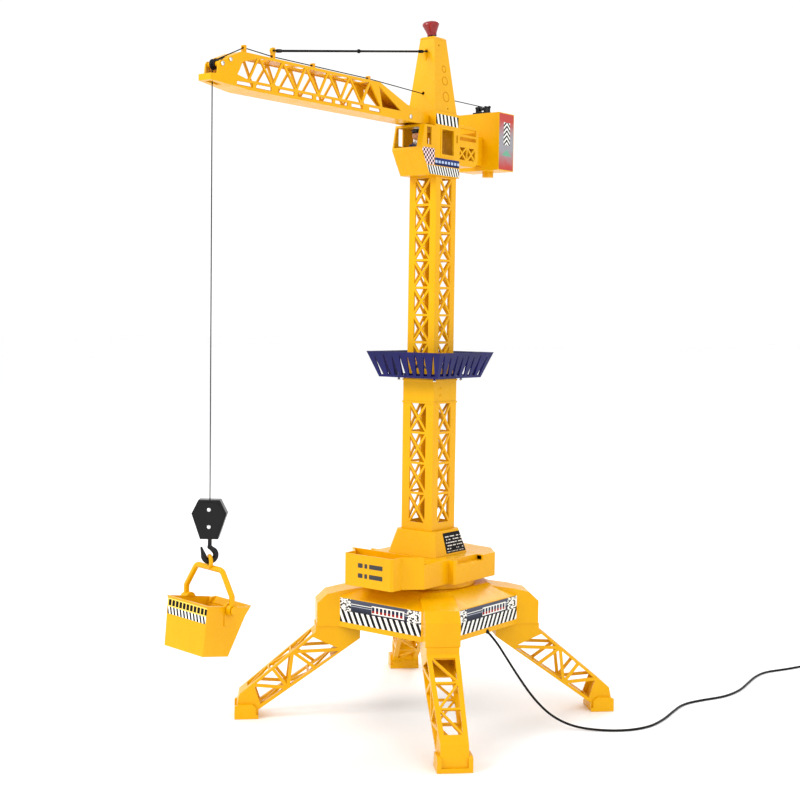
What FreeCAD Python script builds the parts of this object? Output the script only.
import FreeCAD, Part
import math
import os

# Toy tower crane on four splayed lattice legs, with a wired handset.
# Frame: millimetres, +Z up, origin on the floor under the slewing axis, +X along the jib.

V = FreeCAD.Vector
UP = V(0, 0, 1)
ACROSS = V(0, 1, 0)
ALONG = V(1, 0, 0)

# ---- driving dimensions ----
WALL = 2.4             # moulded plastic wall
FIT = 0.3              # gap between parts that only lie near each other
SHAFT_GAP = 0.05       # radial clearance of a running shaft
SCREW_R = 1.5
SCREW_HEAD_R = 3.0

HUB_FACE = 131.0       # centre to each flat side of the base hub
HUB_FLAT = 89.0        # half width of that flat side
HUB_LOW = 160.0
HUB_SIDE_TOP = 212.0
HUB_TOP = 232.0
HUB_TOP_HALF = 88.0
HUB_CORNER_R = 194.0   # centre to the outer face of each corner block
CORNER_HALF = 29.0     # half width of a corner block
PLATE_T = 3.0

LEG_ROOT_HALF = 27.0   # half width of a leg at the hub, and at the ankle
LEG_ANKLE_HALF = 22.0
LEG_ROOT_IN = 119.0
LEG_ROOT_OUT = 196.0
ANKLE_OUT = 326.0
ANKLE_IN = 293.0
ANKLE_TOP = 42.0
FOOT_OUT = 334.0
FOOT_HALF = 28.0
LEG_SHOULDER = 150.0   # outer upper edge of a leg, just below the hub
LEG_BAR = 5.5
LEG_BAYS = 3

DECK_LOW = 243.0       # turntable platform
DECK_TOP = 284.0
NOSE_BOX_TOP = 297.0
NOSE_BOX_X = 165.0
NOSE_BOX_HALF = 52.0
SIDE_BOX_Y = 93.0
SIDE_BOX_HALF = 46.0
DECK_HALF = 78.0
NECK_R = 40.0          # round neck that turns in the hub

PEDESTAL_LOW_HALF = 52.0
PEDESTAL_TOP_HALF = 41.0
PEDESTAL_TOP = 326.0
TOWER_FOOT = 318.0     # the lower tower stands this high, inside the pedestal

LOWER_HALF = 33.0      # lower tower, half side
LOWER_TOP = 590.0
LOWER_BAND = 547.0
LOWER_BAYS = 4
UPPER_HALF = 28.6      # upper tower, half side
UPPER_LOW = 590.0
UPPER_TOP = 933.0
UPPER_BAYS = 7
LOWER_POST = 16.0      # width of a corner post on each face of the lower tower
UPPER_POST = 13.0
TOWER_BAR = 4.0

COLLAR_LOW = 590.0     # blue service platform round the tower
COLLAR_TOP = 634.0
COLLAR_LOW_HALF = 63.0
COLLAR_TOP_HALF = 79.0
COLLAR_SLOTS = 8
SLOT_LOW_HALF = 4.4    # the gallery's slots narrow towards the top
SLOT_TOP_HALF = 0.9

CAB_HALF = 31.5
CAB_BACK = -34.0
CAB_LOW = 933.0
CAB_TOP = 1016.0
CAB_KNEE_X = 75.0
CAB_KNEE_Z = 974.0
CAB_SILL_X = 66.0
SEAT_Z = 961.0

HEAD_LOW = 1016.0      # square collar of the head, then the tall tapered part
HEAD_BAND = 1041.0
HEAD_TOP = 1166.0
HEAD_HALF_X = 31.0
HEAD_HALF_Y = 29.0
HEAD_TOP_HALF_X = 17.0
HEAD_TOP_HALF_Y = 15.0
HEAD_SHIFT = 4.0       # the head stands this far towards the jib
BEACON_TOP = 1200.0
BEACON_LOW = 1174.0
BEACON_X = 9.0
BEACON_TILT = 12.0     # degrees towards the jib
LENS_FOOT_R = 7.8
LENS_WIDE_R = 14.6
LENS_CROWN_R = 11.0
LENS_WIDE_Z = 17.0

JIB_ROOT = 38.0
JIB_TIP = 541.0
JIB_LOW = 1017.0
JIB_SKIRT = 1029.0
JIB_TOP = 1071.0
JIB_HALF = 21.0
JIB_TOP_HALF = 17.0
JIB_BAYS = 6
JIB_BAR = 3.6
JIB_WALL = 2.6
JIB_LATTICE_START = 168.0
JIB_LATTICE_END = 474.0
JIB_SIDE_SLOTS = ((172, 200), (216, 244), (253, 283), (289, 327), (335, 369), (376, 412), (426, 458), (465, 495))
JIB_SLOT_LOW = 1021.5
JIB_SLOT_HIGH = 1027.5
JIB_TOP_SLOTS = ((190, 216), (228, 254), (266, 292), (330, 356), (364, 386), (418, 446))
PEG_PLACES = ((179.0, 1077.0), (313.0, 1077.2), (402.0, 1077.4), (463.0, 1081.0))   # x, and z of the line's hole
SHEAVE_PIN_R = 2.0
ROLLER_PIN_R = 1.5
SHEAVE_X = 521.0
SHEAVE_Z = 1048.5
SHEAVE_GROOVE = 4.2
SHEAVE_PIN_HALF = 15.6
ROLLER_X = 507.0
ROLLER_Z = 1056.0
ROLLER_GROOVE = 3.2
ROLLER_PIN_HALF = 17.6

PENDANT_R = 1.8
PENDANT_HEAD = (26.4, 1144.0)    # eye on the head, x and z
PENDANT_JIB = (402.0, 1086.0)    # eye on the jib
EYE_HOLE_R = 2.6
EYE_RING_R = 5.4
ROOT_PIN_X = 92.0
ROOT_PIN_R = 2.5
LINE_HIGH = 1072.1     # the taut line leaves the fairlead at this height
LINE_R = 0.8
FAIRLEAD_X = -147.0
FAIRLEAD_Z = 1068.5
FAIRLEAD_R = 2.6
LINE_X = SHEAVE_X + SHEAVE_GROOVE + LINE_R
LINE_END_Z = SHEAVE_Z - 0.5     # the hanging part of the line starts here

CHEEK_REAR = -100.0    # the counter-jib's lattice cheeks end here, a plain beam goes on
CHEEK_LOW = 957.0
CHEEK_TOP = 1027.0
BEAM_HALF = 9.0
BEAM_LOW = 966.0
BEAM_TOP = 1016.0
BOX_FRONT = -134.0     # machine box on the counter-jib
BOX_REAR = -182.0
BOX_HALF = 44.0
BOX_LOW = 957.0
BOX_TOP = 1059.0
DRUM_X = -158.0
DRUM_Z = 1022.0
DRUM_R = 8.0
DRUM_SHAFT_R = 2.0
BOX_SCREWS = ((-38.0, BOX_LOW + 8), (-38.0, BOX_TOP - 8), (38.0, BOX_LOW + 8), (38.0, BOX_TOP - 8))

GEAR_MODULE = 0.8
DRUM_TEETH = 44
WINCH_TEETH = 12
SLEW_MODULE = 1.0
SLEW_TEETH = 66
SLEW_PINION_TEETH = 12

BLOCK_TOP = 427.0      # hook block
BLOCK_DEEP = 57.0
BLOCK_TURN = 38.0      # the hanging block faces this way, degrees from +X
BLOCK_T = 9.0
HOOK_TURN = 150.0      # direction of the plane of the hook
HOOK_SHANK_R = 3.0
RIVET_HEIGHTS = (BLOCK_TOP - 14.0, BLOCK_TOP - 39.0)
EYE_Z = 344.5          # where the bail hangs on the hook

BEARING_Z = EYE_Z - 7.8    # the bail's eye swings on the hook about this height
BAIL_SWING = 4.0       # the bail hangs a little out of plumb, degrees about the axis of its eye
LUG_Z = 273.0          # bucket trunnions
BUCKET_TIP = 12.0      # the bucket hangs a little spout-down, degrees
BUCKET_DEPTH = 69.0

SPINDLE_R = 8.0        # spindle of the platform, running in the hub's bearing
SLEW_GEAR_LOW = 194.8
SLEW_GEAR_T = 6.0
SLEW_DISTANCE = SLEW_MODULE * (SLEW_TEETH + SLEW_PINION_TEETH) / 2.0
SLEW_MOTOR_R = 11.0
SCREW_HOLE_R = SCREW_R + SHAFT_GAP
SCREW_PLACE = 164.0    # centre to each leg screw
LEG_PLATE_T = 4.3
CABLE_HOLE_R = 4.8
BOOT_FLANGE_R = 6.2

BUCKET_TOP_X = 42.0
BUCKET_TOP_Y = 41.5
BUCKET_LOW_X = 26.0
BUCKET_LOW_Y = 39.5
BUCKET_TOP_SHIFT = 1.0     # rim and floor lie this far beyond the trunnions
BUCKET_LOW_SHIFT = 9.0
LIP_REACH = 9.0
BAIL_R = 4.2
LUG_R = 4.0

CORD_R = 2.0
COIL_MID_R = 22.0
COIL_X = -838.0
COIL_Y = 448.0
HANDSET_X = -850.0
HANDSET_Y = 575.0
HANDSET_LONG = 140.0
HANDSET_WIDE = 78.0
HANDSET_HIGH = 34.0

# route of the cable from the hub down to the floor and over it to the coil
CORD_ROUTE = [
    (0.0, 132.0, 160.0), (-7.0, 143.0, 146.0), (-17.0, 159.0, 117.0), (-29.0, 177.0, 84.0),
    (-42.0, 197.0, 51.0), (-57.0, 221.0, 23.0), (-73.0, 252.0, 6.5), (-91.0, 288.0, 2.0),
    (-120.0, 330.0, 2.0), (-168.0, 352.0, 2.0), (-226.0, 350.0, 2.0), (-284.0, 339.0, 2.0),
    (-334.0, 332.0, 2.0), (-380.0, 346.0, 2.0), (-428.0, 368.0, 2.0), (-486.0, 372.0, 2.0),
    (-544.0, 362.0, 2.0), (-600.0, 352.0, 2.0), (-648.0, 352.0, 2.0), (-690.0, 372.0, 2.0),
    (-738.0, 390.0, 2.0), (-790.0, 404.0, 2.0), (-838.0, 426.0, 2.0),
]
CABLE_INNER = (5.0, 120.5, 167.0)   # where the rubber boot of the cable starts inside the hub
BOOT_Z = 13.0
# route of the short end from the coil to the handset
HANDSET_END_ROUTE = [
    (COIL_X - COIL_MID_R - 4.0, COIL_Y, 2.0), (COIL_X - COIL_MID_R - 5.5, COIL_Y + 16, 2.5),
    (COIL_X - COIL_MID_R + 2, COIL_Y + 31, 7.0), (HANDSET_X, HANDSET_Y - HANDSET_LONG / 2.0 - 11, BOOT_Z),
]


# ---- small geometry helpers ----
def box(low, high):
    size = [b - a for a, b in zip(low, high)]
    return Part.makeBox(size[0], size[1], size[2], V(*low))


def cylinder(radius, start, end):
    a = V(*start)
    b = V(*end)
    return Part.makeCylinder(radius, (b - a).Length, a, b - a)


def cone(radius_a, radius_b, start, end):
    a = V(*start)
    b = V(*end)
    return Part.makeCone(radius_a, radius_b, (b - a).Length, a, b - a)


def tube(outer, inner, start, end):
    return cylinder(outer, start, end).cut(cylinder(inner, start, end))


def face(points):
    corners = [V(*p) for p in points]
    return Part.Face(Part.makePolygon(corners + corners[:1]))


def prism_z(outline, low, high):
    return face([(x, y, low) for x, y in outline]).extrude(V(0, 0, high - low))


def prism_y(outline, low, high):
    return face([(x, low, z) for x, z in outline]).extrude(V(0, high - low, 0))


def prism_x(outline, low, high):
    return face([(low, y, z) for y, z in outline]).extrude(V(high - low, 0, 0))


def rectangle(half_x, half_y, shift=0.0):
    return [(shift - half_x, -half_y), (shift + half_x, -half_y), (shift + half_x, half_y), (shift - half_x, half_y)]


def loft(outline_a, z_a, outline_b, z_b):
    wires = []
    for outline, z in ((outline_a, z_a), (outline_b, z_b)):
        corners = [V(x, y, z) for x, y in outline]
        wires.append(Part.makePolygon(corners + corners[:1]))
    return Part.makeLoft(wires, True, True)


def turned(shape, degrees, centre=(0, 0, 0), axis=UP):
    copy = shape.copy()
    copy.rotate(V(*centre), axis, degrees)
    return copy


def fuse(shapes):
    joined = shapes[0]
    if len(shapes) > 1:
        joined = shapes[0].multiFuse(shapes[1:])
    return joined.removeSplitter()


def cut(shape, tools):
    return shape.cut(Part.makeCompound(tools)) if tools else shape


def inset(points, distance):
    """Move each side of a convex outline inwards by distance."""
    count = len(points)
    middle = [sum(p[k] for p in points) / count for k in (0, 1)]
    lines = []
    for a, b in zip(points, points[1:] + points[:1]):
        length = math.hypot(b[0] - a[0], b[1] - a[1])
        normal = (-(b[1] - a[1]) / length, (b[0] - a[0]) / length)
        if (middle[0] - a[0]) * normal[0] + (middle[1] - a[1]) * normal[1] < 0:
            normal = (-normal[0], -normal[1])
        lines.append((normal, normal[0] * a[0] + normal[1] * a[1] + distance))
    corners = []
    for (n1, c1), (n2, c2) in zip(lines[-1:] + lines[:-1], lines):
        cross = n1[0] * n2[1] - n1[1] * n2[0]
        corners.append(((c1 * n2[1] - c2 * n1[1]) / cross, (n1[0] * c2 - n2[0] * c1) / cross))
    return corners


def crossed_bay(corners, bar):
    """The four openings left in a four-sided bay by two crossing bars."""
    middle = [sum(p[k] for p in corners) / 4.0 for k in (0, 1)]
    return [inset([a, b, middle], bar / 2.0) for a, b in zip(corners, corners[1:] + corners[:1])]


def single_bay(corners, bar, rising):
    """The two openings left in a four-sided bay by one diagonal bar."""
    a, b, c, d = corners
    pairs = ([a, b, c], [a, c, d]) if rising else ([a, b, d], [b, c, d])
    return [inset(list(p), bar / 2.0) for p in pairs]


def halves(shape, names):
    """Split a moulding at the middle plane Y = 0 into its left and right shells."""
    big = 800.0
    left = shape.common(box((-big, 0, 0), (big, big, 2 * big)))
    right = shape.common(box((-big, -big, 0), (big, 0, 2 * big)))
    return {names[0]: left, names[1]: right}


def screw(start, end, head_r=SCREW_HEAD_R, shank_r=SCREW_R, head_t=2.0):
    """A pan-head screw whose head lies at start and whose shank runs to end."""
    a = V(*start)
    b = V(*end)
    way = (b - a).normalize()
    head = Part.makeCylinder(head_r, head_t, a - way * head_t, way)
    shank = Part.makeCylinder(shank_r, (b - a).Length, a, way)
    slot = Part.makeBox(head_r * 1.2, 0.8, 0.8, V(-head_r * 0.6, -0.4, 0))
    cross = slot.fuse(turned(slot, 90))
    cross.Placement = FreeCAD.Placement(a - way * head_t, FreeCAD.Rotation(UP, way))
    return head.fuse(shank).cut(cross)


def gear(teeth, module, thickness, addendum, bore):
    """A spur gear about Z with involute flanks, one tooth centred on +X."""
    pressure = math.radians(20)
    pitch_r = teeth * module / 2.0
    base_r = pitch_r * math.cos(pressure)
    tip_r = pitch_r + addendum
    root_r = pitch_r - 1.25 * module
    backlash = 0.25 * module
    half_at_base = (math.pi / 2.0 * module - backlash) / (2 * pitch_r) + math.tan(pressure) - pressure
    flank = []
    steps = 4
    start_r = max(base_r, root_r)
    for step in range(steps + 1):
        radius = start_r + (tip_r - start_r) * step / steps
        angle = math.acos(min(1.0, base_r / radius))
        flank.append((radius, half_at_base - (math.tan(angle) - angle)))
    side = [(root_r, half_at_base)] + flank if root_r < base_r else flank
    outline = []
    for tooth in range(teeth):
        middle = 2 * math.pi * tooth / teeth
        for radius, half in side:
            outline.append((radius * math.cos(middle - half), radius * math.sin(middle - half)))
        for radius, half in reversed(side):
            outline.append((radius * math.cos(middle + half), radius * math.sin(middle + half)))
    blank = prism_z(outline, 0, thickness)
    if bore:
        blank = blank.cut(cylinder(bore, (0, 0, -1), (0, 0, thickness + 1)))
    return blank


def bent_rod(route, radius, bends=None):
    """A round rod along straight runs joined by tangent arcs. Returns the solid, its length and its bend radii."""
    points = [V(*p) for p in route]
    edges = []
    radii = []
    start = points[0]
    for k in range(1, len(points) - 1):
        corner = points[k]
        into = (corner - points[k - 1]).normalize()
        out = (points[k + 1] - corner).normalize()
        half_turn = into.getAngle(out) / 2.0
        shorter = min((corner - points[k - 1]).Length, (points[k + 1] - corner).Length)
        bend = bends[k - 1] if bends else 0.45 * shorter / math.tan(half_turn)
        reach = bend * math.tan(half_turn)
        middle_way = (out - into).normalize()
        centre = corner + middle_way * (bend / math.cos(half_turn))
        first = corner - into * reach
        last = corner + out * reach
        edges.append(Part.LineSegment(start, first).toShape())
        edges.append(Part.Arc(first, centre - middle_way * bend, last).toShape())
        radii.append(bend)
        start = last
    edges.append(Part.LineSegment(start, points[-1]).toShape())
    path = Part.Wire(edges)
    ring = Part.Wire([Part.Circle(points[0], points[1] - points[0], radius).toShape()])
    return path.makePipeShell([ring], True, False), path.Length, radii


# ---- base: hub, legs, slewing drive ----
def hub_outline(face_half, flat_half):
    f = face_half
    w = flat_half
    return [(f, -w), (f, w), (w, f), (-w, f), (-f, w), (-f, -w), (-w, -f), (w, -f)]


def hub_block(shrink):
    """Outer form of the hub cover, or with shrink its hollow."""
    body = prism_z(hub_outline(HUB_FACE - shrink, HUB_FLAT - shrink * 0.4), HUB_LOW, HUB_SIDE_TOP - shrink * 0.6)
    roof = loft(hub_outline(HUB_FACE - shrink, HUB_FLAT - shrink * 0.4), HUB_SIDE_TOP - shrink * 0.6,
                hub_outline(HUB_TOP_HALF - shrink, HUB_TOP_HALF * 0.68 - shrink * 0.4), HUB_TOP - shrink)
    shapes = [body, roof]
    reach = HUB_CORNER_R - shrink
    profile = [(60, HUB_LOW), (reach, HUB_LOW), (reach, 200 - shrink * 0.5), (177 - shrink * 0.6, 216 - shrink),
               (146, 223 - shrink), (100, 229 - shrink), (60, 229 - shrink)]
    for corner in range(4):
        block = prism_y(profile, -CORNER_HALF + shrink, CORNER_HALF - shrink)
        shapes.append(turned(block, 45 + 90 * corner))
    return fuse(shapes)


def on_each_corner(shape):
    return [turned(shape, 45 + 90 * corner) for corner in range(4)]


def cable_way(radius):
    """The straight passage the cable takes out through the hub's lower edge."""
    start = V(*CABLE_INNER)
    way = (V(*CORD_ROUTE[0]) - start).normalize()
    return Part.makeCylinder(radius, 40, start - way * 10, way)


def base_hub_cover():
    block = hub_block(0)
    shell = block.cut(hub_block(WALL))
    post = cylinder(4.5, (SCREW_PLACE, 0, HUB_LOW), (SCREW_PLACE, 0, HUB_TOP))
    posts = [one.common(block) for one in on_each_corner(post)]
    pilots = on_each_corner(cylinder(SCREW_HOLE_R, (SCREW_PLACE, 0, HUB_LOW - 1), (SCREW_PLACE, 0, HUB_LOW + 32)))
    neck_hole = cylinder(NECK_R + 0.6, (0, 0, HUB_LOW), (0, 0, HUB_TOP + 5))
    return cut(fuse([shell] + posts), pilots + [neck_hole, cable_way(CABLE_HOLE_R)])


def base_bottom_plate():
    plate = prism_z(hub_outline(HUB_FACE - WALL - FIT, HUB_FLAT - WALL), HUB_LOW, HUB_LOW + PLATE_T)
    bearing_top = HUB_LOW + 30
    bearing = cylinder(SPINDLE_R + 5, (0, 0, HUB_LOW), (0, 0, bearing_top))
    ribs = [box((-110, -1, HUB_LOW), (110, 1, HUB_LOW + 8)), box((-1, -110, HUB_LOW), (1, 110, HUB_LOW + 8))]
    motor_room = cylinder(SLEW_MOTOR_R + 1, (SLEW_DISTANCE, 0, HUB_LOW + PLATE_T), (SLEW_DISTANCE, 0, bearing_top))
    bore = cylinder(SPINDLE_R + SHAFT_GAP, (0, 0, HUB_LOW - 1), (0, 0, bearing_top + 1))
    return cut(fuse([plate, bearing] + ribs), [bore, motor_room, cable_way(BOOT_FLANGE_R + FIT)])


def leg_stations(bottom, top, count):
    lower = [(bottom[0][0] + (bottom[1][0] - bottom[0][0]) * k / count,
              bottom[0][1] + (bottom[1][1] - bottom[0][1]) * k / count) for k in range(count + 1)]
    upper = [(top[0][0] + (top[1][0] - top[0][0]) * k / count,
              top[0][1] + (top[1][1] - top[0][1]) * k / count) for k in range(count + 1)]
    return lower, upper


def leg_plan(shrink):
    root = LEG_ROOT_HALF - shrink
    ankle = LEG_ANKLE_HALF - shrink
    return [(100, -root), (LEG_ROOT_OUT, -root), (ANKLE_OUT + 8, -ankle),
            (ANKLE_OUT + 8, ankle), (LEG_ROOT_OUT, root), (100, root)]


def leg_side_openings():
    """Openings of the side lattice, seen along Y."""
    openings = []
    lower, upper = leg_stations([(LEG_ROOT_IN + 27, 119), (ANKLE_IN - 2, 20)],
                                [(LEG_ROOT_OUT + 5, LEG_SHOULDER - 6), (ANKLE_OUT - 22, 58)], LEG_BAYS)
    for bay in range(LEG_BAYS):
        corners = [lower[bay], lower[bay + 1], upper[bay + 1], upper[bay]]
        for hole in single_bay(corners, LEG_BAR, bay % 2 == 0):
            openings.append(prism_y(hole, -60, 60))
    return openings


def leg_top_openings():
    """Openings of the sloping upper face."""
    openings = []
    drop = LEG_SHOULDER - ANKLE_TOP
    slope = math.degrees(math.atan2(drop, ANKLE_OUT - LEG_ROOT_OUT))
    run = math.hypot(drop, ANKLE_OUT - LEG_ROOT_OUT)
    narrowing = (LEG_ROOT_HALF - LEG_ANKLE_HALF) / run
    for bay in range(LEG_BAYS):
        near = 6 + (run - 22) * bay / LEG_BAYS
        far = 6 + (run - 22) * (bay + 1) / LEG_BAYS
        near_half = LEG_ROOT_HALF - 6 - narrowing * near
        far_half = LEG_ROOT_HALF - 6 - narrowing * far
        corners = [(near, -near_half), (far, -far_half), (far, far_half), (near, near_half)]
        for hole in single_bay(corners, LEG_BAR - 2, bay % 2 == 0):
            opening = prism_z(hole, -70, 12)
            opening.rotate(V(0, 0, 0), ACROSS, slope)
            opening.translate(V(LEG_ROOT_OUT, 0, LEG_SHOULDER))
            openings.append(opening)
    return openings


def leg():
    """One splayed leg in the XZ plane, a hollow lattice box with a solid ankle and a foot."""
    side = [(LEG_ROOT_IN, 138), (LEG_ROOT_IN, HUB_LOW), (LEG_ROOT_OUT, HUB_LOW), (LEG_ROOT_OUT, LEG_SHOULDER),
            (ANKLE_OUT, ANKLE_TOP), (ANKLE_OUT + 4, 24), (ANKLE_OUT + 4, 4), (ANKLE_IN, 4), (ANKLE_IN, 15)]
    outer = prism_y(side, -60, 60).common(prism_z(leg_plan(0), 0, 200))
    hollow_side = [(LEG_ROOT_IN + 10, 133), (LEG_ROOT_IN + 10, HUB_LOW - 4), (LEG_ROOT_OUT - 3, HUB_LOW - 4),
                   (LEG_ROOT_OUT - 3, LEG_SHOULDER - 4), (ANKLE_OUT - 18, 50), (ANKLE_IN + 3, 22)]
    hollow = prism_y(hollow_side, -60, 60).common(prism_z(leg_plan(3.0), 0, 200))
    body = cut(outer, [hollow] + leg_side_openings() + leg_top_openings())
    root_plate = box((LEG_ROOT_IN, -LEG_ROOT_HALF, HUB_LOW - LEG_PLATE_T), (LEG_ROOT_OUT, LEG_ROOT_HALF, HUB_LOW))
    tongues = [box((a, -20, HUB_LOW - 1), (b, 20, HUB_LOW + 22)) for a, b in ((155, 158), (170, 173), (181, 184))]
    foot = box((ANKLE_IN, -FOOT_HALF, 0), (FOOT_OUT, FOOT_HALF, 7))
    cheek = prism_y([(ANKLE_IN + 4, 0), (FOOT_OUT, 0), (FOOT_OUT, 22), (FOOT_OUT - 6, 25), (ANKLE_IN + 10, 25),
                     (ANKLE_IN + 4, 19)], LEG_ANKLE_HALF - 1, FOOT_HALF)
    cheeks = [cheek, cheek.mirror(V(0, 0, 0), ACROSS)]
    whole = fuse([body, root_plate, foot] + tongues + cheeks)
    return whole.cut(cylinder(SCREW_HOLE_R, (SCREW_PLACE, 0, HUB_LOW - 20), (SCREW_PLACE, 0, HUB_LOW + 30)))


def legs():
    names = ("leg_front_left", "leg_rear_left", "leg_rear_right", "leg_front_right")
    return {name: turned(leg(), 45 + 90 * k) for k, name in enumerate(names)}


def leg_screws():
    one = screw((SCREW_PLACE, 0, HUB_LOW - LEG_PLATE_T), (SCREW_PLACE, 0, HUB_LOW + 26))
    return Part.makeCompound(on_each_corner(one))


def slew_motor():
    x = SLEW_DISTANCE
    can_low = HUB_LOW + 6
    can = cylinder(SLEW_MOTOR_R, (x, 0, can_low), (x, 0, 190))
    boss = cylinder(4, (x, 0, 190), (x, 0, 192))
    tail = cylinder(3.5, (x, 0, HUB_LOW + PLATE_T), (x, 0, can_low))
    return fuse([can, boss, tail])


def slew_pinion():
    # half a tooth of turn puts a tooth gap where the ring gear's tooth comes in
    wheel = gear(SLEW_PINION_TEETH, SLEW_MODULE, 6, 0.85, 0)
    wheel = turned(wheel, 180.0 / SLEW_PINION_TEETH)
    wheel.translate(V(SLEW_DISTANCE, 0, SLEW_GEAR_LOW - 0.4))
    shaft = cylinder(1.5, (SLEW_DISTANCE, 0, 192.3), (SLEW_DISTANCE, 0, SLEW_GEAR_LOW))
    return fuse([wheel, shaft])


def slew_gear():
    wheel = gear(SLEW_TEETH, SLEW_MODULE, SLEW_GEAR_T, 0.65, SPINDLE_R + SHAFT_GAP)
    wheel.translate(V(0, 0, SLEW_GEAR_LOW))
    return wheel


# ---- slewing part: platform, pedestal, tower ----
def deck_outline():
    n = NOSE_BOX_X
    w = NOSE_BOX_HALF
    d = DECK_HALF
    s = SIDE_BOX_Y
    h = SIDE_BOX_HALF
    quarter = [(n, 0), (n, w - 4), (n - 4, w), (n - 27, w), (n - 53, d), (h, d), (h, s - 3), (h - 3, s), (-h, s)]
    rear = [(-h - 28, s), (-h - 40, s - 12), (-110, 60), (-118, 0)]
    half = quarter + rear
    return half + [(x, -y) for x, y in reversed(half[1:-1])]


def nose_tray():
    """The open tray at the nose of the platform, with walls that follow the platform's edge."""
    n = NOSE_BOX_X
    w = NOSE_BOX_HALF
    back = n - 53
    outline = [(n, w - 4), (n - 4, w), (n - 27, w), (back, DECK_HALF)]
    outline += [(x, -y) for x, y in reversed(outline)]
    walls = prism_z(outline, DECK_TOP - 1, NOSE_BOX_TOP)
    return walls.cut(prism_z(inset(outline, 3.0), DECK_TOP - 0.5, NOSE_BOX_TOP + 1))


def turntable_platform():
    """The tray-shaped platform with its nose tray, side ledges and the neck and spindle below."""
    outline = deck_outline()
    inner = [(x * 0.955, y * 0.95) for x, y in outline]
    body = prism_z(outline, DECK_LOW, DECK_TOP).cut(prism_z(inner, DECK_LOW - 1, DECK_TOP - WALL))
    recesses = []
    ledges = []
    h = SIDE_BOX_HALF
    y = SIDE_BOX_Y
    recess = box((-h + 8, y - 14, DECK_TOP - 9), (h - 8, y + 10, DECK_TOP + 5))
    ledge = box((-h + 4, y - 17, DECK_TOP - 11.5), (h - 4, y - 1, DECK_TOP - 9))
    wall = box((-h + 6, y - 17, DECK_TOP - 11.5), (h - 6, y - 14, DECK_TOP))
    for shape, group in ((recess, recesses), (ledge, ledges), (wall, ledges)):
        group += [shape, shape.mirror(V(0, 0, 0), ACROSS)]
    skirt = prism_z(outline, DECK_LOW, DECK_LOW + WALL).cut(
        cylinder(NECK_R + 28, (0, 0, DECK_LOW - 1), (0, 0, DECK_LOW + 5)))
    floor = tube(NECK_R + 29, 12, (0, 0, DECK_LOW), (0, 0, DECK_LOW + WALL))
    gear_seat_low = SLEW_GEAR_LOW + SLEW_GEAR_T
    neck = tube(NECK_R, NECK_R - 3, (0, 0, gear_seat_low), (0, 0, DECK_LOW + 1))
    gear_seat = tube(NECK_R, 4, (0, 0, gear_seat_low), (0, 0, gear_seat_low + 3))
    spindle = tube(SPINDLE_R, 4, (0, 0, HUB_LOW + 2), (0, 0, gear_seat_low + 2))
    turning_ring = tube(84, 78, (0, 0, HUB_TOP + 0.4), (0, 0, DECK_LOW + 1))
    core = tube(16, 12, (0, 0, DECK_LOW), (0, 0, DECK_TOP - 1))
    below = [skirt, floor, neck, gear_seat, spindle, turning_ring, core]
    return fuse([cut(body, recesses), nose_tray()] + below + ledges)


def chamfered_square(half, chamfer):
    h = half
    c = half - chamfer
    return [(h, -c), (h, c), (c, h), (-c, h), (-h, c), (-h, -c), (-c, -h), (c, -h)]


def pedestal():
    low = PEDESTAL_LOW_HALF
    top = PEDESTAL_TOP_HALF
    outer = loft(chamfered_square(low, 7), DECK_TOP, chamfered_square(top, 7), PEDESTAL_TOP)
    hollow = loft(chamfered_square(low - WALL, 7), DECK_TOP - 0.01, chamfered_square(top - WALL, 7),
                  PEDESTAL_TOP - WALL)
    shelf = tube_square(45, 26, TOWER_FOOT - 3, TOWER_FOOT).common(outer)
    socket_half = LOWER_HALF + FIT
    socket = box((-socket_half, -socket_half, TOWER_FOOT), (socket_half, socket_half, PEDESTAL_TOP + 1))
    return fuse([outer.cut(hollow), shelf]).cut(socket)


def square_tower(half, post, heights, bays):
    """A square lattice tower; heights are its foot, its top and both ends of its lattice."""
    low, high, bay_low, bay_high = heights
    outer = box((-half, -half, low), (half, half, high))
    inner_half = half - 3.0
    shell = outer.cut(box((-inner_half, -inner_half, low - 1), (inner_half, inner_half, high + 1)))
    tools = []
    pitch = (bay_high - bay_low) / bays
    reach = half - post + TOWER_BAR / 2.0
    for bay in range(bays):
        a = bay_low + pitch * bay
        corners = [(-reach, a), (reach, a), (reach, a + pitch), (-reach, a + pitch)]
        for hole in crossed_bay(corners, TOWER_BAR):
            tools.append(prism_x(hole, -half - 5, half + 5))
            tools.append(prism_y(hole, -half - 5, half + 5))
    return cut(shell, tools)


def tower_halves(shape, half, low, high, names):
    """Split a square tower along its diagonal into two L-shaped mouldings."""
    far = half + 20
    front = prism_z([(far, -far), (far, far), (-far, far)], low - 5, high + 5)
    rear = prism_z([(far, -far), (-far, far), (-far, -far)], low - 5, high + 5)
    return {names[0]: shape.common(front), names[1]: shape.common(rear)}


def lower_tower():
    heights = (TOWER_FOOT, LOWER_TOP, PEDESTAL_TOP + 11, LOWER_BAND)
    shape = square_tower(LOWER_HALF, LOWER_POST, heights, LOWER_BAYS)
    trim = [cone(2.4, 1.4, (14, LOWER_HALF - 1, z), (14, LOWER_HALF + 1.5, z))
            for z in (LOWER_BAND + 12, LOWER_BAND + 24)]
    trim += [tube_square(LOWER_HALF + 1.2, LOWER_HALF - 1, z, z + 3) for z in (LOWER_BAND - 1.5, LOWER_TOP - 6)]
    return tower_halves(fuse([shape] + trim), LOWER_HALF, TOWER_FOOT, LOWER_TOP,
                        ("lower_tower_front_shell", "lower_tower_rear_shell"))


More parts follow.
